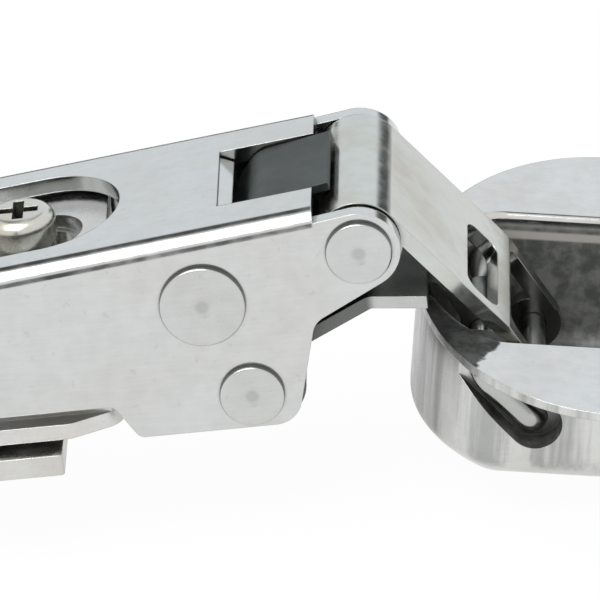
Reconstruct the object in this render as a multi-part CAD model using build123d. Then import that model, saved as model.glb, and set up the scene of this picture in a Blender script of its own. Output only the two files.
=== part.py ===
from build123d import *
import os
from math import acos, atan2, cos, degrees, hypot, radians, sin, sqrt, tan

# Frame: X forward to the cup, Y across, Z up off the cabinet side, in millimetres.
# The origin is midway between the mounting plate's two screw holes, on the cabinet side.

# Pivots in the X-Z plane, with the hinge fully open
NOSE_X = 54.94
NOSE_Z = 18.8
MIDDLE_X = 40.4
MIDDLE_Z = 15.0
LOWER_X = 43.8
LOWER_Z = 5.6
REAR_X = 1.0
REAR_Z = 10.5

# Cup: place of its rim centre when open, and its tilt
CUP_X = 76.6
CUP_Z = 7.8
CUP_TILT = 10.0
CUP_R = 17.5
CUP_FLAT = 13.8
CUP_DEPTH = 13.9
CUP_WALL = 1.0
CUP_CORNER_R = 4.0
CUP_BOTTOM_R = 3.0
RIM_ROUND = 0.6
FLANGE_SHEET = 0.8
FLANGE_SIDE = 26.0
CUP_SCREW_SPAN = 45.0
CUP_SCREW_BACK = 9.5
CUP_SCREW_HOLE_R = 2.1
EAR_R = 6.0

# Cup pivots: along the rim from the centre, and below the rim
DEEP_PIVOT_ALONG = -6.4
DEEP_PIVOT_DEPTH = 8.4
SHALLOW_PIVOT_ALONG = -11.4
SHALLOW_PIVOT_DEPTH = 3.8
WIRE_R = 1.15
WIRE_BEND_R = 1.3
POCKET_DEPTH = 2.65
POCKET_WALL = 0.9
POCKET_ROOM = 0.85
POCKET_SWELL = 1.3
POCKET_LIFT = 0.6
POCKET_SHIFT = 0.5

# Motion: how far each piece turns from open to closed
CUP_TURN = 100.0
OUTER_TURN = 10.0
INNER_TURN = -21.0

# Arm
ARM_WIDTH = 22.0
ARM_SHEET = 1.5
ARM_SLOPE = 6.3
ARM_RISE = 4.6
ARM_FOLD_R = 1.8
ARM_REAR_X = -3.0
ARM_EDGE_Z = 5.6
ARM_BLOCK_Z = 2.25
ARM_STEP_X = 31.2
ARM_BLOCK_X = 33.2
ARM_FRONT_X = 47.6
ARM_THROAT_X = 50.2
ARM_THROAT_Z = 12.1
TOP_BACK = 3.84
NOSE_R = 3.75
NOSE_STEP = 1.0
NOTCH_REAR_X = 42.4
NOTCH_WIDTH = 11.2
TAB_LENGTH = 2.2
TAB_DROP = 25.0
ARM_STEP_R = 1.0
ARM_TOE_R = 2.6
ARM_THROAT_R = 2.0
ARM_REAR_R = 1.5
SLOT_FRONT_X = 33.3
SLOT_REAR_X = 13.0
SLOT_WIDTH = 14.4

# Pins
NOSE_PIN_R = 2.5
NOSE_HEAD_R = 3.0
MIDDLE_PIN_R = 2.2
MIDDLE_HEAD_R = 3.9
LOWER_PIN_R = 1.6
LOWER_HEAD_R = 2.95
REAR_PIN_R = 1.6
REAR_HEAD_R = 2.6
HEAD_HEIGHT = 0.65
HEAD_ROUND = 0.25
DIMPLE_R = 4.0
DIMPLE_DEPTH = 0.15

# Links and spring
OUTER_SHEET = 1.4
OUTER_BEND = 15.5
WINDOW_WIDTH = 12.4
WINDOW_Y = -1.6
WINDOW_START = 10.0
WINDOW_LENGTH = 4.0
WINDOW_R = 1.4
FORK_START = 15.7
LEG_WIDTH = 1.8
EYE_SLIT = 0.35
INNER_GAP = 0.8
INNER_SHEET = 1.2
INNER_EYE_WIDTH = 7.0
INNER_EYE_WALL = 0.75
HUMP_CLEAR = 0.35
HUMP_RISE = 0.7
HUMP_BACK = 4.2
SPRING_SHEET = 0.8
SPRING_WIDTH = 10.6
SPRING_TIP = 30.0
SPRING_BEND_X = 46.0
SPRING_SINK = 0.5

# Slide plate, mounting plate and screws
HAT_SHEET = 1.5
HAT_FLANGE_Z = 2.8
HAT_GAP = 0.5
DISH_DEPTH = 0.3
HAT_REAR_X = -6.0
HAT_FRONT_X = 31.8
HAT_TAPER_X = 27.0
HAT_TAPER_HALF = 8.8
HAT_CORNER_R = 2.0
HAT_NOSE_R = 2.5
BASE_SHEET = 2.0
BASE_HALF = 12.5
BASE_REAR_X = -22.0
BASE_FRONT_X = 26.1
BASE_HOLE_SPACING = 32.0
BASE_HOLE_R = 2.6
BASE_CORNER_R = 0.4
FIXING_X = 24.0
SCREW_R = 2.0
SCREW_HEAD_R = 3.3
SCREW_HEAD_HEIGHT = 3.8
SHANK_ROOM = 0.9
SCREW_HEAD_ROUND = 1.2
CROSS_SPAN = 3.6
CROSS_WIDTH = 1.0
CROSS_DEPTH = 1.8
DEPTH_TRAVEL = 2.0
SIDE_SCREW_X = 6.5

# Clearances
RUNNING = 0.05
FIT = 0.02
SIDE_GAP = 0.3

# How far a cut runs on past the part
HIGH = 100.0

ARM_HALF = ARM_WIDTH / 2
ARM_INNER = ARM_HALF - ARM_SHEET
HAT_HALF = ARM_INNER - SIDE_GAP
HAT_FLANGE_HALF = ARM_HALF
OUTER_WIDTH = 2 * (ARM_INNER - SIDE_GAP)
INNER_WIDTH = 2 * (ARM_INNER - INNER_GAP)
ARM_TOP_FRONT_X = NOSE_X - TOP_BACK


def turned(along, out, angle):
    """A vector in the X-Z plane, turned about Y so that a positive angle lifts +X."""
    c = cos(radians(angle))
    s = sin(radians(angle))
    return along * c - out * s, along * s + out * c


def cup_point(along, depth):
    """A point of the open cup in the X-Z plane."""
    x, z = turned(along, -depth, -CUP_TILT)
    return CUP_X + x, CUP_Z + z


DEEP_X, DEEP_Z = cup_point(DEEP_PIVOT_ALONG, DEEP_PIVOT_DEPTH)
SHALLOW_X, SHALLOW_Z = cup_point(SHALLOW_PIVOT_ALONG, SHALLOW_PIVOT_DEPTH)
OUTER_LENGTH = hypot(DEEP_X - NOSE_X, DEEP_Z - NOSE_Z)
OUTER_ANGLE = degrees(atan2(DEEP_Z - NOSE_Z, DEEP_X - NOSE_X))


def across(sketch, low, high):
    """A sketch drawn in X-Z, as a solid between two values of Y."""
    return extrude(Plane.XZ.offset(-high) * sketch, high - low, dir=(0, -1, 0))


def rod(x, z, radius, low, high):
    return across(Pos(x, z) * Circle(radius), low, high)


def upright(sketch, low, high):
    """A sketch drawn in plan, as a solid between two heights."""
    return extrude(Plane.XY.offset(low) * sketch, high - low, dir=(0, 0, 1))


def block(x0, x1, y0, y1, z0, z1):
    return upright(Pos((x0 + x1) / 2, (y0 + y1) / 2) * Rectangle(x1 - x0, y1 - y0), z0, z1)


def rounded(sketch, corners, radius):
    """The sketch with the corners nearest to the given points rounded."""
    for x, y in corners:
        near = min(sketch.vertices(), key=lambda v: hypot(v.X - x, v.Y - y))
        sketch = fillet(near, radius)
    return sketch


def strip(points, radii, sheet):
    """A bent strip seen from its edge, round its middle line."""
    return trace(FilletPolyline(*points, radius=radii), line_width=sheet)


# Hinge arm
def arm_side():
    """The arm's side view: deep front block, throat and round nose, a step below the top."""
    step = (ARM_STEP_X, ARM_EDGE_Z)
    heel = (ARM_BLOCK_X, ARM_BLOCK_Z)
    toe = (ARM_FRONT_X, ARM_BLOCK_Z)
    throat = (ARM_THROAT_X, ARM_THROAT_Z)
    top_front = (ARM_TOP_FRONT_X, arm_top(ARM_TOP_FRONT_X))
    neck = (ARM_TOP_FRONT_X, arm_top(ARM_TOP_FRONT_X) - NOSE_STEP)
    rear_top = (ARM_REAR_X, arm_top(ARM_REAR_X))
    face = Polygon(
        (ARM_REAR_X, ARM_EDGE_Z), step, heel, toe, throat, nose_tangent(throat, 1),
        nose_tangent(neck, -1), neck, top_front, rear_top, align=None,
    )
    face = rounded(face, [step, heel], ARM_STEP_R)
    face = rounded(face, [toe], ARM_TOE_R)
    face = rounded(face, [throat], ARM_THROAT_R)
    face = rounded(face, [rear_top], ARM_REAR_R)
    return face + Pos(NOSE_X, NOSE_Z) * Circle(NOSE_R)


def nose_tangent(point, side):
    """Where a line from the point touches the round nose, on its one side or the other."""
    x = point[0] - NOSE_X
    z = point[1] - NOSE_Z
    angle = atan2(z, x) + side * acos(NOSE_R / hypot(x, z))
    return NOSE_X + NOSE_R * cos(angle), NOSE_Z + NOSE_R * sin(angle)


def arm_top(x):
    """Height of the arm's top face on its middle line."""
    slope = radians(ARM_SLOPE)
    return NOSE_Z + ARM_RISE / cos(slope) + (x - NOSE_X) * tan(slope)


def under_top(width, drop, fold):
    """An endless bar whose top lies parallel to the arm's top, so far below it."""
    slope = radians(ARM_SLOPE)
    plane = Plane((0, 0, arm_top(0)), x_dir=(0, 1, 0), z_dir=(cos(slope), 0, sin(slope)))
    section = Pos(0, -HIGH / 2 - drop) * Rectangle(width, HIGH)
    if fold:
        section = rounded(section, [(-width / 2, -drop), (width / 2, -drop)], fold)
    return extrude(plane * section, HIGH, both=True)


def side_screw_place():
    """On the arm's top, with Z square to it."""
    return Pos(SIDE_SCREW_X, 0, arm_top(SIDE_SCREW_X)) * Rot(0, -ARM_SLOPE, 0)


def hinge_arm():
    channel = under_top(ARM_WIDTH, 0, ARM_FOLD_R) - under_top(2 * ARM_INNER, ARM_SHEET, 0)
    side_view = arm_side()
    arm = channel & across(side_view, -ARM_HALF, ARM_HALF)

    # Past the front end of the top the sides go on as two flat ears.
    ahead = block(ARM_TOP_FRONT_X, HIGH, -ARM_WIDTH, ARM_WIDTH, ARM_THROAT_Z, HIGH)
    ears = across(side_view, -ARM_HALF, -ARM_INNER) + across(side_view, ARM_INNER, ARM_HALF)
    arm = (arm - ahead) + (ears & ahead)
    arm -= block(NOTCH_REAR_X, HIGH, -NOTCH_WIDTH / 2, NOTCH_WIDTH / 2, ARM_THROAT_Z, HIGH)
    slot = Pos((SLOT_FRONT_X + SLOT_REAR_X) / 2, 0)
    arm -= upright(slot * SlotOverall(SLOT_FRONT_X - SLOT_REAR_X, SLOT_WIDTH), ARM_EDGE_Z, HIGH)

    # The tab at the rear of the notch is bent down out of the top.
    drop_x, drop_z = turned(TAB_LENGTH, 0, -TAB_DROP)
    under_x, under_z = turned(0, -ARM_SHEET, -TAB_DROP)
    root_x = NOTCH_REAR_X - ARM_SHEET / 2
    root_z = arm_top(root_x)
    tab = Polygon(
        (root_x, root_z), (root_x + drop_x, root_z + drop_z),
        (root_x + drop_x + under_x, root_z + drop_z + under_z), (root_x + under_x, root_z + under_z),
        (root_x, root_z - ARM_SHEET), align=None,
    )
    arm += across(tab, -NOTCH_WIDTH / 2 + SIDE_GAP, NOTCH_WIDTH / 2 - SIDE_GAP)

    for x, z, radius in (
        (NOSE_X, NOSE_Z, NOSE_PIN_R), (MIDDLE_X, MIDDLE_Z, MIDDLE_PIN_R),
        (LOWER_X, LOWER_Z, LOWER_PIN_R), (REAR_X, REAR_Z, REAR_PIN_R),
    ):
        arm -= rod(x, z, radius + FIT, -ARM_WIDTH, ARM_WIDTH)
    arm -= side_screw_place() * upright(Circle(SCREW_R + RUNNING), -2 * ARM_SHEET, ARM_SHEET)
    return arm


# Riveted pins
def riveted_pin(x, z, radius, head_radius):
    pin = rod(x, z, radius, -ARM_HALF, ARM_HALF)
    for side in (-1, 1):
        low, high = sorted((side * ARM_HALF, side * (ARM_HALF + HEAD_HEIGHT)))
        head = rod(x, z, head_radius, low, high)
        rim = head.edges().filter_by(GeomType.CIRCLE).sort_by(Axis.Y)[0 if side < 0 else -1]
        pin += fillet(rim, HEAD_ROUND)
        punch = side * (ARM_HALF + HEAD_HEIGHT - DIMPLE_DEPTH + DIMPLE_R)
        pin -= Pos(x, punch, z) * Sphere(DIMPLE_R)
    return pin


# Outer link
def outer_link():
    """A plate along the line from the nose to the deep cup pivot, rolled round both pins."""
    nose_middle = NOSE_PIN_R + RUNNING + OUTER_SHEET / 2
    deep_middle = WIRE_R + RUNNING + OUTER_SHEET / 2
    # Drawn with the nose pin at the origin and the plate along x, then turned into place.
    plate = Polygon(
        (0, nose_middle - OUTER_SHEET / 2), (OUTER_BEND, nose_middle - OUTER_SHEET / 2),
        (OUTER_LENGTH, deep_middle - OUTER_SHEET / 2), (OUTER_LENGTH, deep_middle + OUTER_SHEET / 2),
        (OUTER_BEND, nose_middle + OUTER_SHEET / 2), (0, nose_middle + OUTER_SHEET / 2), align=None,
    )
    nose_eye = Circle(nose_middle + OUTER_SHEET / 2)
    deep_eye = Pos(OUTER_LENGTH, 0) * Circle(deep_middle + OUTER_SHEET / 2)
    face = plate + nose_eye + deep_eye
    face -= Circle(NOSE_PIN_R + RUNNING)
    face -= Pos(OUTER_LENGTH, 0) * Circle(WIRE_R + RUNNING)
    # Each rolled end stops short of the plate, with a slit where the eye closes.
    face -= Pos(-EYE_SLIT, -nose_middle) * Rectangle(EYE_SLIT, OUTER_SHEET + 2 * SIDE_GAP)
    place = Pos(NOSE_X, NOSE_Z) * Rot(0, 0, OUTER_ANGLE)
    link = across(place * face, -OUTER_WIDTH / 2, OUTER_WIDTH / 2)

    # The window, and the gap between the two legs, are cut square to the plate.
    square_x, square_z = turned(0, 1, OUTER_ANGLE)
    line_x, line_z = turned(1, 0, OUTER_ANGLE)
    flat = Plane((NOSE_X, 0, NOSE_Z), x_dir=(line_x, 0, line_z), z_dir=(square_x, 0, square_z))
    window = Pos(WINDOW_START + WINDOW_LENGTH / 2, WINDOW_Y)
    window *= RectangleRounded(WINDOW_LENGTH, WINDOW_WIDTH, WINDOW_R)
    fork = Pos(FORK_START + OUTER_LENGTH / 2, 0)
    fork *= RectangleRounded(OUTER_LENGTH, OUTER_WIDTH - 2 * LEG_WIDTH, WINDOW_R)
    return link - extrude(flat * (window + fork), OUTER_LENGTH, both=True)


# Inner link
def swing(share):
    """Where the lower pin lies in the inner link's own frame, at a share of the way to closed."""
    angle = OUTER_TURN * share
    deep = turned(DEEP_X - NOSE_X, DEEP_Z - NOSE_Z, angle)
    arm = turned(SHALLOW_X - DEEP_X, SHALLOW_Z - DEEP_Z, CUP_TURN * share)
    shallow_x = NOSE_X + deep[0] + arm[0]
    shallow_z = NOSE_Z + deep[1] + arm[1]
    back = turned(LOWER_X - shallow_x, LOWER_Z - shallow_z, -INNER_TURN * share)
    return SHALLOW_X + back[0], SHALLOW_Z + back[1]


def inner_link():
    """The humped link: slotted at the lower pin, with an eye on the shallow cup pivot."""
    path = [swing(step / 12) for step in range(13)]
    left = min(x for x, z in path)
    right = max(x for x, z in path)
    low = min(z for x, z in path)
    high = max(z for x, z in path)
    slot_half = (high - low) / 2 + LOWER_PIN_R + 3 * RUNNING
    slot_length = right - left + 2 * slot_half
    middle = Pos((left + right) / 2, (low + high) / 2)
    slot = middle * SlotOverall(slot_length, 2 * slot_half)
    tail = middle * SlotOverall(slot_length + 2 * INNER_SHEET, 2 * (slot_half + INNER_SHEET))

    rim_x, rim_z = cup_point(-CUP_R, 0)
    crest_z = rim_z + HUMP_CLEAR + INNER_SHEET / 2
    eye_r = WIRE_R + RUNNING + INNER_EYE_WALL
    tail_top = (low + high) / 2 + slot_half + INNER_SHEET / 2
    hump = [
        ((left + right) / 2, tail_top),
        (right + slot_half / 2, tail_top),
        (rim_x - HUMP_BACK, crest_z + HUMP_RISE),
        (rim_x + CUP_WALL + INNER_SHEET, crest_z),
        (SHALLOW_X - eye_r / 2, SHALLOW_Z + eye_r / 2),
    ]
    body = strip(hump, INNER_SHEET, INNER_SHEET)
    eye = Pos(SHALLOW_X, SHALLOW_Z) * Circle(eye_r)
    hole = Pos(SHALLOW_X, SHALLOW_Z) * Circle(WIRE_R + RUNNING)
    link = across((tail + body) - slot - hole, -INNER_WIDTH / 2, INNER_WIDTH / 2)
    # Beyond the cup's rim the link narrows to the eye between the outer link's legs.
    narrow = block(rim_x + CUP_WALL, HIGH * 2, -HIGH, HIGH, -HIGH, HIGH)
    keep = block(-HIGH, HIGH * 2, -INNER_EYE_WIDTH / 2, INNER_EYE_WIDTH / 2, -HIGH, HIGH)
    link -= narrow - keep
    return link + across(eye - hole, -INNER_EYE_WIDTH / 2, INNER_EYE_WIDTH / 2)


# Leaf spring
def leaf_spring():
    """A hairpin of spring strip held on the middle pin, its long leg in the notch, on the nose eye."""
    grip = MIDDLE_PIN_R + RUNNING + SPRING_SHEET / 2
    eye_r = NOSE_PIN_R + RUNNING + OUTER_SHEET
    tip_x, tip_z = turned(0, eye_r + SIDE_GAP + SPRING_SHEET / 2, SPRING_TIP)
    path = [
        (NOSE_X + tip_x, NOSE_Z + tip_z),
        (SPRING_BEND_X, arm_top(SPRING_BEND_X) - SPRING_SINK - SPRING_SHEET / 2),
        (MIDDLE_X + grip, MIDDLE_Z + grip),
        (MIDDLE_X - grip, MIDDLE_Z + grip),
        (MIDDLE_X - grip, MIDDLE_Z - grip),
        (MIDDLE_X + 2 * grip, MIDDLE_Z - grip),
    ]
    shape = strip(path, grip - 3 * RUNNING, SPRING_SHEET)
    return across(shape, -SPRING_WIDTH / 2, SPRING_WIDTH / 2)


# Hinge cup
def cup_plan(radius, half, corner):
    """A circle with two flats, its four corners rounded."""
    plan = Circle(radius) & Rectangle(2 * radius, 2 * half)
    return fillet(plan.vertices(), corner)


def flange_plan():
    """An oval to the hinge side, with two screw ears behind the cup's middle."""
    ear_y = CUP_SCREW_SPAN / 2
    far = CUP_SCREW_BACK + EAR_R
    oval = Ellipse(CUP_R, FLANGE_SIDE) & (Pos(-CUP_R, 0) * Rectangle(2 * CUP_R, 2 * FLANGE_SIDE))
    ears = Pos(far / 2, 0) * Rectangle(far, 2 * ear_y)
    for side in (-1, 1):
        ear = Pos(CUP_SCREW_BACK, side * ear_y)
        ears += ear * Circle(EAR_R)
        ears += Polygon(
            (0, side * ear_y), (0, side * FLANGE_SIDE), (CUP_SCREW_BACK, side * (ear_y + EAR_R)),
            (CUP_SCREW_BACK, side * ear_y), align=None,
        )
    round_end = Circle(CUP_R)
    return oval + ears + round_end


def pocket_plan(margin):
    """The leaf-shaped pocket round the bent wire, in the cup's side view."""
    small = Pos(SHALLOW_PIVOT_ALONG - POCKET_SHIFT, POCKET_LIFT - SHALLOW_PIVOT_DEPTH)
    small *= Circle(WIRE_R + POCKET_ROOM + margin)
    large = Pos(DEEP_PIVOT_ALONG, POCKET_LIFT - DEEP_PIVOT_DEPTH) * Circle(WIRE_R + POCKET_SWELL + margin)
    return make_hull(small.edges() + large.edges())


def cup_place():
    return Pos(CUP_X, 0, CUP_Z) * Rot(0, CUP_TILT, 0)


def hinge_cup():
    outside = cup_plan(CUP_R, CUP_FLAT, CUP_CORNER_R)
    inside = cup_plan(CUP_R - CUP_WALL, CUP_FLAT - CUP_WALL, CUP_CORNER_R - CUP_WALL)
    shell = upright(outside, -CUP_DEPTH, 0)
    shell = fillet(shell.edges().group_by(Axis.Z)[0], CUP_BOTTOM_R)
    hollow = upright(inside, CUP_WALL - CUP_DEPTH, CUP_DEPTH)
    hollow = fillet(hollow.edges().group_by(Axis.Z)[0], CUP_BOTTOM_R - CUP_WALL)

    cup = shell + upright(flange_plan(), -FLANGE_SHEET, 0) - hollow
    rim = [
        edge for edge in cup.edges().group_by(Axis.Z)[-1]
        if hypot((edge @ 0.5).X, (edge @ 0.5).Y) < CUP_R - CUP_WALL / 2
    ]
    cup = fillet(rim, RIM_ROUND)
    wall_in = -CUP_FLAT + POCKET_DEPTH
    boss = across(pocket_plan(POCKET_WALL), -CUP_FLAT + CUP_WALL / 2, wall_in + POCKET_WALL)
    cup += boss & upright(outside, -CUP_DEPTH + CUP_WALL, -FLANGE_SHEET / 2)
    cup -= across(pocket_plan(0), -CUP_FLAT - CUP_WALL, wall_in)
    for along, depth in (
        (DEEP_PIVOT_ALONG, DEEP_PIVOT_DEPTH), (SHALLOW_PIVOT_ALONG, SHALLOW_PIVOT_DEPTH),
    ):
        cup -= rod(along, -depth, WIRE_R + FIT, -CUP_R, CUP_R)
    for side in (-1, 1):
        hole = Pos(CUP_SCREW_BACK, side * CUP_SCREW_SPAN / 2)
        cup -= upright(hole * Circle(CUP_SCREW_HOLE_R), -CUP_DEPTH, CUP_DEPTH)
    return cup_place() * cup


def cup_pin():
    """One wire: two pivot legs across the cup and the bridge in the pocket."""
    bridge_y = -CUP_FLAT + POCKET_DEPTH - WIRE_R - FIT
    deep_end = CUP_FLAT - RUNNING
    # The shallow leg ends in the cup's round wall, so it is shorter.
    shallow_end = sqrt(CUP_R ** 2 - (SHALLOW_PIVOT_ALONG - WIRE_R) ** 2) - RUNNING
    path = FilletPolyline(
        (DEEP_PIVOT_ALONG, deep_end, -DEEP_PIVOT_DEPTH),
        (DEEP_PIVOT_ALONG, bridge_y, -DEEP_PIVOT_DEPTH),
        (SHALLOW_PIVOT_ALONG, bridge_y, -SHALLOW_PIVOT_DEPTH),
        (SHALLOW_PIVOT_ALONG, shallow_end, -SHALLOW_PIVOT_DEPTH),
        radius=WIRE_BEND_R,
    )
    start = Plane((DEEP_PIVOT_ALONG, deep_end, -DEEP_PIVOT_DEPTH), z_dir=(0, -1, 0))
    return cup_place() * sweep(start * Circle(WIRE_R), path=path)


# Slide plate
def slide_plate():
    """A hat section under the arm's top, with flanges on the strip and a tapered front end."""
    top_drop = ARM_SHEET + HAT_GAP
    outline = Polygon(
        (HAT_REAR_X, -HAT_FLANGE_HALF), (HAT_TAPER_X, -HAT_FLANGE_HALF), (HAT_FRONT_X, -HAT_TAPER_HALF),
        (HAT_FRONT_X, HAT_TAPER_HALF), (HAT_TAPER_X, HAT_FLANGE_HALF), (HAT_REAR_X, HAT_FLANGE_HALF),
        align=None,
    )
    shoulders = [(HAT_TAPER_X, -HAT_FLANGE_HALF), (HAT_TAPER_X, HAT_FLANGE_HALF)]
    outline = rounded(outline, shoulders, HAT_CORNER_R)
    front = [(HAT_FRONT_X, -HAT_TAPER_HALF), (HAT_FRONT_X, HAT_TAPER_HALF)]
    outline = rounded(outline, front, HAT_NOSE_R)
    flanges = upright(outline, HAT_FLANGE_Z, HAT_FLANGE_Z + HAT_SHEET)
    hat = under_top(2 * HAT_HALF, top_drop, HAT_SHEET) & upright(outline, HAT_FLANGE_Z, HIGH)
    plate = flanges + hat - under_top(2 * (HAT_HALF - HAT_SHEET), top_drop + HAT_SHEET, 0)

    # The fixing screw's head sinks into a pressed dish, and its shank slides in a slot.
    reach = 2 * (SCREW_HEAD_R + SIDE_GAP)
    place = Pos(FIXING_X, 0)
    well = place * SlotOverall(reach + 2 * (DEPTH_TRAVEL + HAT_SHEET), reach + 2 * HAT_SHEET)
    plate += hat & upright(well, dish_floor() - HAT_SHEET, HIGH)
    dish = place * SlotOverall(reach + 2 * DEPTH_TRAVEL, reach)
    plate -= upright(dish, dish_floor(), HIGH)
    shank_width = 2 * (SCREW_R + SHANK_ROOM)
    shank = place * SlotOverall(shank_width + 2 * DEPTH_TRAVEL, shank_width)
    plate -= upright(shank, HAT_FLANGE_Z + HAT_SHEET, HIGH)
    plate -= rod(REAR_X, REAR_Z, REAR_PIN_R + FIT, -ARM_WIDTH, ARM_WIDTH)
    return plate


def dish_floor():
    """The level face under the fixing screw's head, just under the hat's sloping top."""
    low_end = FIXING_X - SCREW_HEAD_R - SIDE_GAP - DEPTH_TRAVEL
    return arm_top(low_end) - ARM_SHEET - HAT_GAP - DISH_DEPTH


# Mounting plate
def mounting_plate():
    """The strip under the hinge, with two rails for the slide plate and a screw boss."""
    strip_plan = Pos((BASE_REAR_X + BASE_FRONT_X) / 2, 0) * RectangleRounded(
        BASE_FRONT_X - BASE_REAR_X, 2 * BASE_HALF, BASE_CORNER_R,
    )
    boss_r = SCREW_R + HAT_SHEET
    boss = Pos(FIXING_X, 0) * Circle(boss_r)
    plate = upright(strip_plan + boss, 0, BASE_SHEET)
    plate += upright(boss, 0, HAT_FLANGE_Z + HAT_SHEET)
    rail_y = (HAT_FLANGE_HALF + HAT_HALF) / 2
    for side in (-1, 1):
        plate += block(
            HAT_REAR_X, BASE_HOLE_SPACING / 2, side * rail_y - HAT_SHEET / 2, side * rail_y + HAT_SHEET / 2,
            BASE_SHEET / 2, HAT_FLANGE_Z,
        )
    for side in (-1, 1):
        hole = Pos(side * BASE_HOLE_SPACING / 2, 0)
        plate -= upright(hole * Circle(BASE_HOLE_R), -BASE_SHEET, HIGH)
    plate -= upright(Pos(FIXING_X, 0) * Circle(SCREW_R + FIT), -BASE_SHEET, HIGH)
    return plate


# Screws
def cross_screw(length):
    """A cheese-head screw with a cross recess, its head resting on the X-Y plane."""
    head = upright(Circle(SCREW_HEAD_R), 0, SCREW_HEAD_HEIGHT)
    head = fillet(head.edges().group_by(Axis.Z)[-1], SCREW_HEAD_ROUND)
    screw = head + upright(Circle(SCREW_R), -length, 0)
    for turn in (0, 90):
        cross = Rot(0, 0, turn) * Rectangle(CROSS_SPAN, CROSS_WIDTH)
        screw -= upright(cross, SCREW_HEAD_HEIGHT - CROSS_DEPTH, HIGH)
    return screw


def fixing_screw():
    """The screw that clamps the slide plate, upright in the boss of the mounting plate."""
    return Pos(FIXING_X, 0, dish_floor()) * cross_screw(dish_floor() - BASE_SHEET / 2)


def side_screw():
    """The screw square to the arm's top, whose end bears on the slide plate."""
    return side_screw_place() * cross_screw(ARM_SHEET + HAT_GAP - RUNNING)


def build():
    return {
        "mounting_plate": mounting_plate(),
        "slide_plate": slide_plate(),
        "fixing_screw": fixing_screw(),
        "side_screw": side_screw(),
        "hinge_arm": hinge_arm(),
        "rear_pin": riveted_pin(REAR_X, REAR_Z, REAR_PIN_R, REAR_HEAD_R),
        "nose_pin": riveted_pin(NOSE_X, NOSE_Z, NOSE_PIN_R, NOSE_HEAD_R),
        "middle_pin": riveted_pin(MIDDLE_X, MIDDLE_Z, MIDDLE_PIN_R, MIDDLE_HEAD_R),
        "lower_pin": riveted_pin(LOWER_X, LOWER_Z, LOWER_PIN_R, LOWER_HEAD_R),
        "leaf_spring": leaf_spring(),
        "outer_link": outer_link(),
        "inner_link": inner_link(),
        "hinge_cup": hinge_cup(),
        "cup_pin": cup_pin(),
    }


os.makedirs("parts", exist_ok=True)
for name, solid in build().items():
    export_step(solid, f"parts/{name}.step")
print("outer link", round(OUTER_LENGTH, 3), "mm at", round(OUTER_ANGLE, 2), "degrees")
print("deep pivot", round(DEEP_X, 3), round(DEEP_Z, 3))
print("shallow pivot", round(SHALLOW_X, 3), round(SHALLOW_Z, 3))
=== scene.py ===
from math import cos, radians, sin

import bmesh
import bpy
from mathutils import Matrix, Vector


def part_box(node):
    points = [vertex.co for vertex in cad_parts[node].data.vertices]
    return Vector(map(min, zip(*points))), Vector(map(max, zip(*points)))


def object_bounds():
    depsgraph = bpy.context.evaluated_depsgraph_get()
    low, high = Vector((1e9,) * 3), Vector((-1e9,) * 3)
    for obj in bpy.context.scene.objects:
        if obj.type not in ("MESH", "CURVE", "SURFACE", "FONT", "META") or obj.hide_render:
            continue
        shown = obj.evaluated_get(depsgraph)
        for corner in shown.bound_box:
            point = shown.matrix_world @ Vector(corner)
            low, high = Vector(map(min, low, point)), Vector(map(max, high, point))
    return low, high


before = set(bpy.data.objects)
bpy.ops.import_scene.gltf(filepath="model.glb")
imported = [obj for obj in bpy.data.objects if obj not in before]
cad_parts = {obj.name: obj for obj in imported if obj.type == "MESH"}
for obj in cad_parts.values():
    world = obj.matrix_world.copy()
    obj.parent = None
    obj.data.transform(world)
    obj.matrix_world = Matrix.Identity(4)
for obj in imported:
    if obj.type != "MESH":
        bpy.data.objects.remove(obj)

cad_low, cad_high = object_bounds()


# Mounting plate: the flat strip that is screwed to the cabinet side, stamped from
# steel and nickel plated. It carries two low rails and a threaded boss, and its
# plating is a little duller than the arm's because it is never handled.
MM = 0.001
EDGE_ROUND = 0.14 * MM
RELIEF_DEPTH = 0.05 * MM
CLOUD_SCALE = 95.0
MOTTLE_SCALE = 620.0
HANDLING_SCALE = 1500.0
GRAIN_SCALE = 4200.0
LINE_SCALE = 5200.0
LINE_STRETCH = (0.05, 1.0, 1.0)
HANDLING_SHOW = 0.1
HANDLING_COLOUR = (0.2, 0.19, 0.17, 1.0)
# The colour of painted shade, with grease, in corners and crevices.
CORNER_SHADE_COLOUR = (0.045, 0.047, 0.042, 1.0)


def new_group(name, inputs, outputs):
    """A shader node group with named sockets, each given as name, kind and default."""
    tree = bpy.data.node_groups.new(name, "ShaderNodeTree")
    for label, kind, default in inputs:
        socket = tree.interface.new_socket(label, in_out="INPUT", socket_type=kind)
        socket.default_value = default
    for label, kind in outputs:
        tree.interface.new_socket(label, in_out="OUTPUT", socket_type=kind)
    start = tree.nodes.new("NodeGroupInput")
    end = tree.nodes.new("NodeGroupOutput")
    return tree, start.outputs, end.inputs


def node(tree, kind, settings=None, inputs=None):
    """A new node with its own settings, and values or links for its input sockets."""
    made = tree.nodes.new(kind)
    for key, value in (settings or {}).items():
        setattr(made, key, value)
    for key, value in (inputs or {}).items():
        if isinstance(value, bpy.types.NodeSocket):
            tree.links.new(value, made.inputs[key])
        else:
            made.inputs[key].default_value = value
    return made


def calc(tree, operation, first, second=0.0):
    """The result of a Math node on two values or sockets."""
    return node(tree, "ShaderNodeMath", {"operation": operation}, {0: first, 1: second}).outputs[0]


def ramp(tree, value, low, high, start=0.0, end=1.0):
    """A value eased from start to end as the socket goes from low to high."""
    return node(
        tree, "ShaderNodeMapRange", {"interpolation_type": "SMOOTHSTEP"},
        {"Value": value, "From Min": low, "From Max": high, "To Min": start, "To Max": end},
    ).outputs["Result"]


def blend_colour(tree, factor, first, second, mode="MIX"):
    """The result of a Mix node on two colours."""
    return node(
        tree, "ShaderNodeMix", {"data_type": "RGBA", "blend_type": mode}, {0: factor, 6: first, 7: second},
    ).outputs[2]


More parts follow.
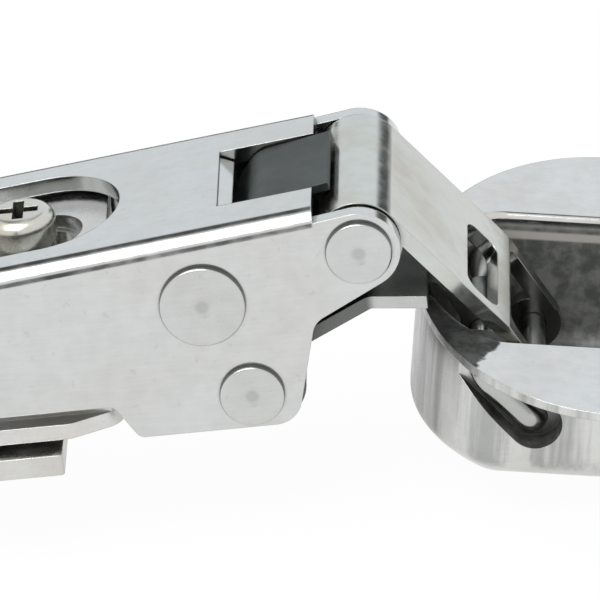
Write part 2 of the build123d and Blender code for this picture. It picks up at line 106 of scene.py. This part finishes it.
def noise(tree, place, scale, detail=3.0, rough=0.5):
    """A Noise texture's value, its scale given as features per metre."""
    return node(
        tree, "ShaderNodeTexNoise", {},
        {"Vector": place, "Scale": scale, "Detail": detail, "Roughness": rough},
    ).outputs["Fac"]


def plating_group():
    """Nickel on pressed steel: cloudy tint, drawn lines, handling marks, and painted shade with grease in
    the corners.
    """
    tree, given, made = new_group(
        "nickel_plating",
        [
            ("Colour", "NodeSocketColor", (0.6, 0.6, 0.6, 1.0)),
            ("Warm Tint", "NodeSocketColor", (0.55, 0.52, 0.46, 1.0)),
            ("Tint Amount", "NodeSocketFloat", 0.4),
            ("Dull", "NodeSocketFloat", 0.25),
            ("Lines", "NodeSocketFloat", 0.3),
            ("Shade And Grease", "NodeSocketFloat", 0.6),
            ("Reach", "NodeSocketFloat", 1.2 * MM),
        ],
        [("Colour", "NodeSocketColor"), ("Roughness", "NodeSocketFloat"), ("Height", "NodeSocketFloat")],
    )
    place = node(tree, "ShaderNodeTexCoord").outputs["Object"]
    cloud = noise(tree, place, CLOUD_SCALE, 4.0, 0.6)
    mottle = noise(tree, place, MOTTLE_SCALE)
    grain = noise(tree, place, GRAIN_SCALE, 2.0)
    stretched = node(tree, "ShaderNodeMapping", {}, {"Vector": place, "Scale": LINE_STRETCH})
    drawn = noise(tree, stretched.outputs["Vector"], LINE_SCALE)
    marks = ramp(tree, noise(tree, place, HANDLING_SCALE, 1.0), 0.71, 0.76, 0.0, HANDLING_SHOW)

    warm = calc(tree, "MULTIPLY", ramp(tree, cloud, 0.42, 0.68), given["Tint Amount"])
    tinted = blend_colour(tree, warm, given["Colour"], given["Warm Tint"])
    mottled = ramp(tree, mottle, 0.3, 0.7, 0.965, 1.03)
    lined = ramp(tree, drawn, 0.3, 0.7, -0.015, 0.015)
    cloudy = blend_colour(tree, 1.0, tinted, calc(tree, "ADD", mottled, lined), "MULTIPLY")
    spotted = blend_colour(tree, marks, cloudy, HANDLING_COLOUR)
    # Ambient occlusion darkens corners and crevices toward the corner colour: painted shade, with grease.
    open_sky = node(
        tree, "ShaderNodeAmbientOcclusion", {"samples": 8}, {"Distance": given["Reach"]},
    ).outputs["AO"]
    corner = calc(tree, "MULTIPLY", ramp(tree, open_sky, 0.25, 0.8, 1.0, 0.0), given["Shade And Grease"])
    tree.links.new(blend_colour(tree, corner, spotted, CORNER_SHADE_COLOUR), made["Colour"])

    dull_spots = ramp(tree, mottle, 0.25, 0.75, -0.05, 0.05)
    dull_clouds = ramp(tree, cloud, 0.3, 0.7, -0.03, 0.05)
    dull_corners = calc(tree, "MULTIPLY", corner, 0.2)
    dull = given["Dull"]
    for change in (dull_spots, dull_clouds, dull_corners):
        dull = calc(tree, "ADD", dull, change)
    tree.links.new(dull, made["Roughness"])
    scored = calc(tree, "MULTIPLY", drawn, given["Lines"])
    tree.links.new(calc(tree, "ADD", scored, calc(tree, "MULTIPLY", grain, 0.3)), made["Height"])
    return tree


NICKEL_PLATING = plating_group()


def steel_material(name, colour, warm, settings, bump=0.04):
    """A metal finish: the plating group in front of its own shader, with softly rounded edges."""
    material = bpy.data.materials.new(name)
    material.use_nodes = True
    tree = material.node_tree
    shader = tree.nodes["Principled BSDF"]
    shader.inputs["Metallic"].default_value = 1.0
    finish = node(tree, "ShaderNodeGroup", {"node_tree": NICKEL_PLATING}, settings)
    finish.inputs["Colour"].default_value = (*colour, 1.0)
    finish.inputs["Warm Tint"].default_value = (*warm, 1.0)
    edges = node(tree, "ShaderNodeBevel", {"samples": 6}, {"Radius": EDGE_ROUND})
    relief = node(
        tree, "ShaderNodeBump", {},
        {"Strength": bump, "Distance": RELIEF_DEPTH, "Height": finish.outputs["Height"],
         "Normal": edges.outputs["Normal"]},
    )
    tree.links.new(finish.outputs["Colour"], shader.inputs["Base Color"])
    tree.links.new(finish.outputs["Roughness"], shader.inputs["Roughness"])
    tree.links.new(relief.outputs["Normal"], shader.inputs["Normal"])
    return material, tree, shader, finish


def dress(names, material):
    """Gives CAD nodes that keep their own shape a new finish."""
    for name in names:
        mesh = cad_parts[name].data
        mesh.materials.clear()
        mesh.materials.append(material)


plate_finish, *_ = steel_material(
    "plate_nickel", (0.63, 0.63, 0.61), (0.52, 0.48, 0.42),
    {"Tint Amount": 0.45, "Dull": 0.27, "Lines": 0.5, "Shade And Grease": 0.7},
)
dress(["mounting_plate"], plate_finish)


# Slide plate: the hat-shaped pressing that slides on the strip's rails under the arm,
# nickel plated like the strip. Its dished top takes the head of the fixing screw,
# and the dish is painted darker by the corner shading: painted shade, with grease and dust.
slide_finish, *_ = steel_material(
    "slide_nickel", (0.66, 0.665, 0.66), (0.57, 0.53, 0.47),
    {"Tint Amount": 0.45, "Dull": 0.24, "Lines": 0.4, "Shade And Grease": 0.45, "Reach": 2.2 * MM},
)
dress(["slide_plate"], slide_finish)


# Fixing screw and side screw: cross-recessed machine screws with turned heads,
# zinc plated with a faint warm cast. The bottom of the cross and the metal under the heads
# are painted darker: painted shade, with grease and dust.
screw_finish, *_ = steel_material(
    "screw_zinc", (0.6, 0.6, 0.56), (0.58, 0.53, 0.42),
    {"Tint Amount": 0.7, "Dull": 0.24, "Lines": 0.3, "Shade And Grease": 0.95, "Reach": 1.4 * MM},
)
dress(["fixing_screw", "side_screw"], screw_finish)


# Hinge arm: one pressing folded into a channel from 1.5 mm strip and bright nickel
# plated. The folds are polished by the press tool, and the flat faces are slightly cloudy
# with fine lines along the strip.
arm_finish, *_ = steel_material(
    "arm_nickel", (0.585, 0.595, 0.59), (0.56, 0.54, 0.5),
    {"Tint Amount": 0.35, "Dull": 0.14, "Lines": 0.5, "Shade And Grease": 0.75},
)
dress(["hinge_arm"], arm_finish)


# Riveted pins: four turned steel pins through the arm, headed over at both ends.
# The heads are satin from the riveting tool, with the mark of its point in the middle painted darker
# as a painted shade of the dimple, and their sides are painted dark where they meet the arm:
# painted shade and dark reflection, with grease.
SHADE_AND_GREASE_COLOUR = (0.085, 0.09, 0.085, 1.0)
MARK_CORE = 0.35 * MM
MARK_EDGE = 0.85 * MM
MARK_SHADE = 0.22
SIDE_SHADE = 0.85


def vector_calc(tree, operation, first, second=(0.0, 0.0, 0.0)):
    """The outputs of a Vector Math node on two vectors or sockets."""
    return node(tree, "ShaderNodeVectorMath", {"operation": operation}, {0: first, 1: second}).outputs


def split(tree, vector):
    """The X, Y and Z of a vector socket."""
    return node(tree, "ShaderNodeSeparateXYZ", {}, {"Vector": vector}).outputs


for pin in ("rear_pin", "nose_pin", "middle_pin", "lower_pin"):
    pin_finish, pin_tree, pin_shader, pin_plating = steel_material(
        pin + "_steel", (0.56, 0.575, 0.565), (0.53, 0.51, 0.46),
        {"Tint Amount": 0.4, "Dull": 0.26, "Lines": 0.2, "Shade And Grease": 0.9, "Reach": 0.9 * MM},
    )
    pin_coords = node(pin_tree, "ShaderNodeTexCoord").outputs
    pin_low, pin_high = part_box(pin)
    pin_middle = (pin_low + pin_high) / 2
    from_middle = vector_calc(pin_tree, "SUBTRACT", pin_coords["Object"], pin_middle)["Vector"]
    off_axis = vector_calc(pin_tree, "MULTIPLY", from_middle, (1.0, 0.0, 1.0))["Vector"]
    radius = vector_calc(pin_tree, "LENGTH", off_axis)["Value"]
    # The middle of each head is painted darker as painted shade of the dimple, and the head sides are
    # painted dark: painted shade and dark reflection, with grease.
    dimple_shade = ramp(pin_tree, radius, MARK_CORE, MARK_EDGE, MARK_SHADE, 0.0)
    along_pin = calc(pin_tree, "ABSOLUTE", split(pin_tree, pin_coords["Normal"])["Y"])
    head_side_shade = ramp(pin_tree, along_pin, 0.4, 0.85, SIDE_SHADE, 0.0)
    pin_shade = calc(pin_tree, "MAXIMUM", dimple_shade, head_side_shade)
    pin_shaded_colour = blend_colour(pin_tree, pin_shade, pin_plating.outputs["Colour"], SHADE_AND_GREASE_COLOUR)
    pin_tree.links.new(pin_shaded_colour, pin_shader.inputs["Base Color"])
    dress([pin], pin_finish)


# Leaf spring: a hairpin of hardened strip held on the middle pin, left in its dark oiled
# temper colour. Its long leg bears on the nose eye and pulls the door shut.
spring_finish, *_ = steel_material(
    "spring_temper", (0.082, 0.093, 0.091), (0.07, 0.074, 0.07),
    {"Tint Amount": 0.5, "Dull": 0.36, "Lines": 0.1, "Shade And Grease": 0.4},
)
dress(["leaf_spring"], spring_finish)


# Outer link: the plate rolled round the nose pin and the deep wire, with a pressed window.
# It slides in the cup at every turn of the door, so its plating has worn to a
# slightly green and brown cast. Its two legs are painted dark where they run down into the cup:
# painted shade and painted reflection of the dark cup, with grease.
NOSE_PIVOT = Vector((54.94, 0.0, 18.8)) * MM
LINK_ANGLE = radians(-52.57)
LINK_LINE = Vector((cos(LINK_ANGLE), 0.0, sin(LINK_ANGLE)))
LEG_START = 18.5 * MM
LEG_SHADED = 21.5 * MM
LINK_SHADE = 0.85
outer_finish, outer_tree, outer_shader, outer_plating = steel_material(
    "outer_nickel", (0.55, 0.57, 0.545), (0.5, 0.45, 0.38),
    {"Tint Amount": 0.6, "Dull": 0.17, "Lines": 0.4, "Shade And Grease": 0.8},
)
outer_place = node(outer_tree, "ShaderNodeTexCoord").outputs["Object"]
from_nose = vector_calc(outer_tree, "SUBTRACT", outer_place, NOSE_PIVOT)["Vector"]
down_link = vector_calc(outer_tree, "DOT_PRODUCT", from_nose, LINK_LINE)["Value"]
# Past the start of the legs the colour is painted dark: painted shade and reflection of the dark cup, with
# grease.
leg_shade = ramp(outer_tree, down_link, LEG_START, LEG_SHADED, 0.0, LINK_SHADE)
leg_shaded_colour = blend_colour(outer_tree, leg_shade, outer_plating.outputs["Colour"], SHADE_AND_GREASE_COLOUR)
outer_tree.links.new(leg_shaded_colour, outer_shader.inputs["Base Color"])
dress(["outer_link"], outer_finish)


# Inner link: the humped link between the lower pin and the shallow wire, formed from
# thin steel. It is half hidden in the arm, and that part is painted dark: painted shade under the arm,
# with grease.
INNER_LIT_X = 55.8 * MM
INNER_SHADED_X = 54.8 * MM
inner_finish, inner_tree, inner_shader, inner_plating = steel_material(
    "inner_nickel", (0.5, 0.51, 0.5), (0.42, 0.4, 0.36),
    {"Tint Amount": 0.5, "Dull": 0.28, "Lines": 0.4, "Shade And Grease": 0.95, "Reach": 5.0 * MM},
)
inner_place = node(inner_tree, "ShaderNodeTexCoord").outputs["Object"]
inner_along = split(inner_tree, inner_place)["X"]
# Toward the arm the link is painted dark: painted shade under the arm, with grease.
inner_shade = ramp(inner_tree, inner_along, INNER_SHADED_X, INNER_LIT_X, LINK_SHADE, 0.0)
inner_shaded_colour = blend_colour(inner_tree, inner_shade, inner_plating.outputs["Colour"], SHADE_AND_GREASE_COLOUR)
inner_tree.links.new(inner_shaded_colour, inner_shader.inputs["Base Color"])
dress(["inner_link"], inner_finish)


# Hinge cup: deep drawn from thin steel and nickel plated, with a flange for the door's
# face. The drawing die leaves it almost mirror bright outside. The inside is painted dark, a painted
# shade of the deep cup with grease of the moving links, and the near rim beside them carries a painted
# dark reflection of the links.
CUP_MIDDLE = Vector((76.6, 0.0, 7.8)) * MM
CUP_TILT = radians(10.0)
FACING_START = 2.0 * MM
FACING_SURE = 6.0 * MM
INSIDE_SHADE_TOP = -0.6 * MM
INSIDE_SHADE_FULL = -1.4 * MM
INSIDE_SHADE_METALLIC = 0.1
SHADE_LUMP_COLOUR = (0.2, 0.205, 0.195, 1.0)
REFLECTED_BAND_LOW = -2.45 * MM
REFLECTED_BAND_HIGH = -1.65 * MM
REFLECTED_BAND_SOFT = 0.15 * MM
REFLECTED_BAND_COLOUR = (0.48, 0.46, 0.43, 1.0)
REFLECTION_EDGE = -4.13 * MM
REFLECTION_LEAN = 0.448
REFLECTION_SOFT = 0.25 * MM
REFLECTION_SIDE_START = -4.0 * MM
REFLECTION_SIDE_FULL = -6.0 * MM
REFLECTION_DARK = (0.02, 0.022, 0.02, 1.0)
REFLECTION_PALE = (0.09, 0.092, 0.088, 1.0)
STREAK_STRETCH = (1.0, 1.0, 0.06)
STREAK_DARK = (0.6, 0.61, 0.6, 1.0)
STREAK_PALE = (1.0, 1.0, 0.99, 1.0)
HINGE_SIDE_START = -13.0 * MM
HINGE_SIDE_FULL = -17.0 * MM
HINGE_SIDE_SHADE = 0.72
cup_finish, cup_tree, cup_shader, cup_plating = steel_material(
    "cup_nickel", (0.64, 0.645, 0.64), (0.55, 0.52, 0.47),
    {"Tint Amount": 0.4, "Dull": 0.1, "Lines": 0.15, "Shade And Grease": 0.85, "Reach": 3.0 * MM},
)


def upright_cup(vector):
    """A vector turned back into the directions of an untilted cup."""
    return node(
        cup_tree, "ShaderNodeVectorRotate", {"rotation_type": "Y_AXIS"},
        {"Vector": vector, "Angle": -CUP_TILT},
    ).outputs["Vector"]


def band(tree, value, low, high, soft):
    """One inside low to high, with soft borders."""
    rise = ramp(tree, value, low - soft, low + soft)
    fall = ramp(tree, value, high - soft, high + soft, 1.0, 0.0)
    return calc(tree, "MULTIPLY", rise, fall)


# Where a point of the cup lies, and which way it faces.
cup_coords = node(cup_tree, "ShaderNodeTexCoord").outputs
from_cup = vector_calc(cup_tree, "SUBTRACT", cup_coords["Object"], CUP_MIDDLE)["Vector"]
cup_place = upright_cup(from_cup)
cup_facing = upright_cup(cup_coords["Normal"])
cup_along, cup_across, cup_height = split(cup_tree, cup_place)
cup_slope = split(cup_tree, cup_facing)["Z"]
cup_plan = vector_calc(cup_tree, "MULTIPLY", cup_place, (1.0, 1.0, 0.0))["Vector"]
outward = vector_calc(cup_tree, "DOT_PRODUCT", cup_plan, cup_facing)["Value"]
flat_top = ramp(cup_tree, cup_slope, 0.3, 0.6)

# The inner wall and the floor are painted dark, a painted shade of the deep cup with grease, with one
# paler band below the rim that is a painted reflection.
below_rim = ramp(cup_tree, cup_height, INSIDE_SHADE_FULL, INSIDE_SHADE_TOP, 1.0, 0.0)
facing_in = ramp(cup_tree, outward, -FACING_SURE, -FACING_START, 1.0, 0.0)
cup_inside_shade = calc(cup_tree, "MULTIPLY", below_rim, calc(cup_tree, "MAXIMUM", facing_in, flat_top))
# A paler band below the rim: a painted reflection.
reflected_band = band(cup_tree, cup_height, REFLECTED_BAND_LOW, REFLECTED_BAND_HIGH, REFLECTED_BAND_SOFT)
lumps = ramp(cup_tree, noise(cup_tree, cup_place, 520.0, 4.0, 0.65), 0.35, 0.65)
lumpy_shade = blend_colour(cup_tree, lumps, SHADE_AND_GREASE_COLOUR, SHADE_LUMP_COLOUR)
inside_shade_tone = blend_colour(cup_tree, reflected_band, lumpy_shade, REFLECTED_BAND_COLOUR)

# A painted dark reflection of the links lies over the near rim, up to a ragged slanting edge.
outwards = calc(cup_tree, "MULTIPLY", calc(cup_tree, "ABSOLUTE", cup_across), REFLECTION_LEAN)
ragged = ramp(cup_tree, noise(cup_tree, cup_place, 700.0), 0.3, 0.7, -REFLECTION_SOFT, REFLECTION_SOFT)
reflection_place = calc(cup_tree, "ADD", calc(cup_tree, "ADD", cup_along, outwards), ragged)
reflection_end = ramp(cup_tree, reflection_place, REFLECTION_EDGE - REFLECTION_SOFT, REFLECTION_EDGE + REFLECTION_SOFT, 1.0, 0.0)
near_side = ramp(cup_tree, cup_across, REFLECTION_SIDE_FULL, REFLECTION_SIDE_START, 1.0, 0.0)
link_reflection = calc(cup_tree, "MULTIPLY", calc(cup_tree, "MULTIPLY", reflection_end, near_side), flat_top)
reflection_tone = blend_colour(cup_tree, lumps, REFLECTION_DARK, REFLECTION_PALE)

# The drawing die leaves fine upright streaks on the outer wall, and the wall is painted darker towards the
# hinge as painted shade.
upright_face = ramp(cup_tree, calc(cup_tree, "ABSOLUTE", cup_slope), 0.35, 0.7, 1.0, 0.0)
facing_out = ramp(cup_tree, outward, FACING_START, FACING_SURE)
outer_wall = calc(cup_tree, "MULTIPLY", upright_face, facing_out)
streak_place = vector_calc(cup_tree, "MULTIPLY", cup_place, STREAK_STRETCH)["Vector"]
streaks = ramp(cup_tree, noise(cup_tree, streak_place, 420.0, 5.0, 0.65), 0.36, 0.62)
wall_tone = blend_colour(cup_tree, streaks, STREAK_DARK, STREAK_PALE)
hinge_shade = ramp(cup_tree, cup_along, HINGE_SIDE_FULL, HINGE_SIDE_START, HINGE_SIDE_SHADE, 1.0)
shaded_wall = blend_colour(cup_tree, 1.0, wall_tone, hinge_shade, "MULTIPLY")

walled = blend_colour(cup_tree, outer_wall, cup_plating.outputs["Colour"], shaded_wall, "MULTIPLY")
inside_shaded = blend_colour(cup_tree, cup_inside_shade, walled, inside_shade_tone)
rim_reflected = blend_colour(cup_tree, link_reflection, inside_shaded, reflection_tone)
cup_tree.links.new(rim_reflected, cup_shader.inputs["Base Color"])
metallic = ramp(cup_tree, cup_inside_shade, 0.0, 1.0, 1.0, INSIDE_SHADE_METALLIC)
cup_tree.links.new(metallic, cup_shader.inputs["Metallic"])
wall_dull = calc(cup_tree, "MULTIPLY", outer_wall, 0.15)
dark_parts_dull = calc(cup_tree, "MULTIPLY", calc(cup_tree, "MAXIMUM", cup_inside_shade, link_reflection), 0.25)
rougher = calc(cup_tree, "MAXIMUM", wall_dull, dark_parts_dull)
cup_dull = calc(cup_tree, "ADD", cup_plating.outputs["Roughness"], rougher)
cup_tree.links.new(cup_dull, cup_shader.inputs["Roughness"])
dress(["hinge_cup"], cup_finish)


# Wire pin of the cup: one bent steel wire whose two legs are the cup's pivots, bright
# where it shows in the pocket.
wire_finish, *_ = steel_material(
    "wire_steel", (0.45, 0.46, 0.44), (0.42, 0.4, 0.36),
    {"Tint Amount": 0.3, "Dull": 0.22, "Lines": 0.2, "Shade And Grease": 0.5},
)
dress(["cup_pin"], wire_finish)


# Floor: a plain pale surface just under the lowest piece. The camera and the metal see
# it nearly white, and it keeps the soft shadow of the hinge.
FLOOR_SIZE = 3.0
FLOOR_GAP = 1.0 * MM
FLOOR_COLOUR = (0.9, 0.9, 0.9, 1.0)
WHITE = (1.0, 1.0, 1.0, 1.0)
WHITE_TO_CAMERA = 0.96
WHITE_TO_METAL = 0.72
floor_mesh = bpy.data.meshes.new("floor")
shape = bmesh.new()
bmesh.ops.create_grid(shape, x_segments=1, y_segments=1, size=FLOOR_SIZE / 2)
bmesh.ops.translate(shape, verts=shape.verts, vec=(cad_high.x / 2, 0.0, cad_low.z - FLOOR_GAP))
shape.to_mesh(floor_mesh)
shape.free()
floor = bpy.data.objects.new("floor", floor_mesh)
bpy.context.scene.collection.objects.link(floor)

floor_finish = bpy.data.materials.new("floor_white")
floor_finish.use_nodes = True
floor_tree = floor_finish.node_tree
floor_shader = floor_tree.nodes["Principled BSDF"]
floor_shader.inputs["Base Color"].default_value = FLOOR_COLOUR
floor_shader.inputs["Roughness"].default_value = 0.9
floor_shader.inputs["Specular IOR Level"].default_value = 0.0
glow = node(floor_tree, "ShaderNodeEmission", {}, {"Color": WHITE, "Strength": 1.0})
floor_rays = node(floor_tree, "ShaderNodeLightPath").outputs
for_camera = calc(floor_tree, "MULTIPLY", floor_rays["Is Camera Ray"], WHITE_TO_CAMERA)
for_metal = calc(floor_tree, "MULTIPLY", floor_rays["Is Glossy Ray"], WHITE_TO_METAL)
floor_mix = node(
    floor_tree, "ShaderNodeMixShader", {},
    {0: calc(floor_tree, "ADD", for_camera, for_metal), 1: floor_shader.outputs[0], 2: glow.outputs[0]},
)
floor_tree.links.new(floor_mix.outputs[0], floor_tree.nodes["Material Output"].inputs["Surface"])
floor_mesh.materials.append(floor_finish)


# Studio: a white tent lit from outside, open in a few places, so the metal shows pale
# faces with dark lines where a fold or an eye turns past an opening.
BEHIND = 1.0
BEFORE = -1.0
OPENING_SOFT = 0.04
OPENING_COLOUR = (0.1, 0.1, 0.1, 1.0)
DAYLIGHT_BEHIND = (0.97, 1.01, 1.04, 1.0)
LAMP_POWER = 3.0
LAMP_SIZE = 0.5
LAMP_PLACE = Vector((-0.1, -0.25, 0.6))
LAMP_AIM = Vector((0.05, 0.0, 0.0))
world = bpy.data.worlds.new("white_tent")
bpy.context.scene.world = world
world.use_nodes = True
tent = world.node_tree
towards = split(tent, node(tent, "ShaderNodeTexCoord").outputs["Generated"])


def opening(x_span, z_span, side):
    """An opening between two values of X and of Z, behind the hinge or before it."""
    wide = band(tent, towards["X"], *x_span, OPENING_SOFT)
    high = band(tent, towards["Z"], *z_span, OPENING_SOFT)
    deep = ramp(tent, calc(tent, "MULTIPLY", towards["Y"], side), 0.05, 0.15)
    return calc(tent, "MULTIPLY", calc(tent, "MULTIPLY", wide, high), deep)


# The openings make the upper line of the arm's near fold, the lines at the cup's rim,
# the lower line of that fold, both dark bands of the eye, and the arm's far edge.
openings = 0.0
for x_span, z_span, side in (
    ((-0.3, -0.05), (0.61, 0.93), BEHIND),
    ((0.1, 0.22), (0.61, 0.93), BEHIND),
    ((-0.24, -0.1), (-0.17, 0.42), BEFORE),
    ((0.36, 0.56), (0.0, 0.3), BEHIND),
    ((-0.56, -0.34), (0.15, 0.23), BEHIND),
    ((-0.24, -0.05), (-0.08, 0.2), BEHIND),
):
    openings = calc(tent, "MAXIMUM", openings, opening(x_span, z_span, side))
daylight = blend_colour(tent, ramp(tent, towards["Y"], 0.2, 0.7), WHITE, DAYLIGHT_BEHIND)
tent_colour = blend_colour(tent, openings, daylight, OPENING_COLOUR)
tent_rays = node(tent, "ShaderNodeLightPath").outputs
seen_colour = blend_colour(tent, tent_rays["Is Camera Ray"], tent_colour, WHITE)
tent.links.new(seen_colour, tent.nodes["Background"].inputs["Color"])

lamp_data = bpy.data.lights.new("tent_lamp", "AREA")
lamp_data.energy = LAMP_POWER
lamp_data.size = LAMP_SIZE
lamp = bpy.data.objects.new("tent_lamp", lamp_data)
lamp.location = LAMP_PLACE
lamp.rotation_euler = (LAMP_AIM - LAMP_PLACE).to_track_quat("-Z", "Y").to_euler()
bpy.context.scene.collection.objects.link(lamp)
bpy.context.scene.view_settings.view_transform = "Standard"


# Camera: a long lens looking down on the near side, rolled a little, at the
# photograph's angle and framing.
CAMERA_TURN = radians(4.2)
CAMERA_DROP = radians(26.5)
CAMERA_ROLL = radians(7.4)
CAMERA_REACH = 0.8
CAMERA_AIM = Vector((48.43, -1.0, 9.55)) * MM
FRAME_PIXELS = 600
PIXELS_PER_MM = 11
FRAME_WIDTH = FRAME_PIXELS / PIXELS_PER_MM * MM
camera_data = bpy.data.cameras.new("camera")
camera_data.sensor_width = 36.0
camera_data.lens = camera_data.sensor_width * CAMERA_REACH / FRAME_WIDTH
camera_data.clip_end = 10.0
camera = bpy.data.objects.new("camera", camera_data)
level = Vector((cos(CAMERA_TURN), sin(CAMERA_TURN), 0.0))
outward_level = Vector((sin(CAMERA_TURN), -cos(CAMERA_TURN), 0.0))
back = outward_level * cos(CAMERA_DROP) + Vector((0.0, 0.0, sin(CAMERA_DROP)))
upward = back.cross(level)
right = level * cos(CAMERA_ROLL) - upward * sin(CAMERA_ROLL)
top = level * sin(CAMERA_ROLL) + upward * cos(CAMERA_ROLL)
turn = Matrix((right, top, back)).transposed()
camera.matrix_world = Matrix.Translation(CAMERA_AIM + back * CAMERA_REACH) @ turn.to_4x4()
bpy.context.scene.collection.objects.link(camera)
bpy.context.scene.camera = camera
